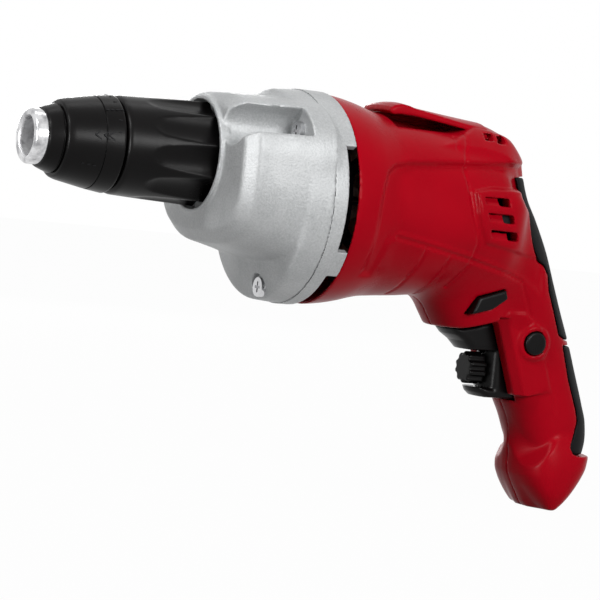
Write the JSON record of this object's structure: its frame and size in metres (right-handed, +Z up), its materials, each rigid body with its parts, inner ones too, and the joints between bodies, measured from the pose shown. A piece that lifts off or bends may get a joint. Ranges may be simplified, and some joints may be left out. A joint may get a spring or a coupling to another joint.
{
  "type": "drywall screwdriver",
  "caption": "Corded drywall screwdriver with a depth-stop nose, turning adjusting collar, cast gear head, moulded motor housing with belt clip, and a leaning trigger handle.",
  "frame": {"origin": "middle of the nose's mouth, on the spindle axis", "axes": "+X from the nose to the back of the tool, +Z up, the tool's left side towards -Y"},
  "size_m": [0.2722, 0.087, 0.1648],
  "materials": {
    "red_plastic": "satin moulded",
    "black_plastic": "satin moulded",
    "inner_plastic": "matt moulded",
    "soft_rubber": "matt",
    "cast_alloy": "satin die-cast",
    "bright_steel": "polished",
    "bronze": "sintered",
    "motor_iron": "laminated",
    "copper": "enamelled wire"
  },
  "bodies": {
    "housing": {"gear_housing": "cast_alloy", "gear_case_gasket": "soft_rubber", "bearing_plate": "cast_alloy", "gear_housing_screws": "bright_steel", "spindle_seal": "soft_rubber", "spindle_bush": "bronze", "gear_bush": "bronze", "front_bearing": "bright_steel", "rear_bearing": "bright_steel", "air_baffle": "inner_plastic", "field_core": "motor_iron", "field_coil_front": "copper", "field_coil_rear": "copper", "brush_holder_left": "inner_plastic", "brush_holder_right": "inner_plastic", "carbon_brush_left": "motor_iron", "carbon_brush_right": "motor_iron", "housing_left": "red_plastic", "housing_right": "red_plastic", "housing_screws": "bright_steel", "belt_clip": "red_plastic", "grip_upper": "soft_rubber", "grip_lower": "soft_rubber", "switch_body": "inner_plastic", "capacitor": "cast_alloy", "terminal_block": "inner_plastic", "cable_gland": "soft_rubber", "trigger_spring": "bright_steel", "collar_snap_ring": "bright_steel"},
    "armature": {"armature_shaft": "bright_steel", "armature_core": "motor_iron", "armature_winding_front": "copper", "armature_winding_rear": "copper", "commutator": "copper", "cooling_fan": "inner_plastic"},
    "gear": {"drive_gear": "bright_steel", "clutch_spring": "bright_steel"},
    "press_washer": {"thrust_washer": "bright_steel"},
    "spindle": {"spindle": "bright_steel", "bit_magnet": "bright_steel"},
    "collar": {"adjusting_collar": "black_plastic"},
    "carrier": {"nose_carrier": "black_plastic"},
    "nose": {"nose_tip": "bright_steel", "nose_cone": "black_plastic"},
    "trigger": {"trigger": "black_plastic"},
    "dial": {"speed_dial": "black_plastic"},
    "lock": {"lock_button": "black_plastic"},
    "reverser": {"reverse_slide": "black_plastic"}
  },
  "joints": [
    {"name": "armature_spin", "type": "hinge", "parent": "housing", "child": "armature", "pos_m": [0.16, 0, -0.013], "axis": [1, 0, 0], "continuous": true},
    {"name": "gear_spin", "type": "hinge", "parent": "housing", "child": "gear", "pos_m": [0.104, 0, 0], "axis": [1, 0, 0], "continuous": true},
    {"name": "spindle_press", "type": "slide", "parent": "housing", "child": "press_washer", "axis": [1, 0, 0], "range_m": [0, 0.0025], "stiffness_N_per_m": 1500},
    {"name": "spindle_spin", "type": "hinge", "parent": "press_washer", "child": "spindle", "pos_m": [0.05, 0, 0], "axis": [1, 0, 0], "continuous": true},
    {"name": "collar_turn", "type": "hinge", "parent": "housing", "child": "collar", "pos_m": [0.055, 0, 0], "axis": [1, 0, 0], "range_deg": [0, 360]},
    {"name": "nose_travel", "type": "slide", "parent": "housing", "child": "carrier", "axis": [-1, 0, 0], "range_m": [0, 0.004]},
    {"name": "nose_pull", "type": "slide", "parent": "carrier", "child": "nose", "axis": [-1, 0, 0], "range_m": [0, 0.03]},
    {"name": "trigger_pull", "type": "slide", "parent": "housing", "child": "trigger", "axis": [1, 0, 0], "range_m": [0, 0.005], "stiffness_N_per_m": 600},
    {"name": "speed_dial_turn", "type": "hinge", "parent": "trigger", "child": "dial", "pos_m": [0.208, 0, -0.0767], "axis": [1, 0, 0], "range_deg": [0, 270]},
    {"name": "lock_button_push", "type": "slide", "parent": "housing", "child": "lock", "axis": [0, 1, 0], "range_m": [0, 0.0025], "stiffness_N_per_m": 300},
    {"name": "reverse_slide_push", "type": "slide", "parent": "housing", "child": "reverser", "axis": [0, 1, 0], "range_m": [-0.002, 0.002]}
  ],
  "couplings": [
    {"joint": "gear_spin", "follows": "armature_spin", "ratio": -0.25},
    {"joint": "spindle_spin", "follows": "armature_spin", "ratio": -0.25},
    {"joint": "nose_travel", "follows": "collar_turn", "m_per_rad": 0.00063662}
  ]
}
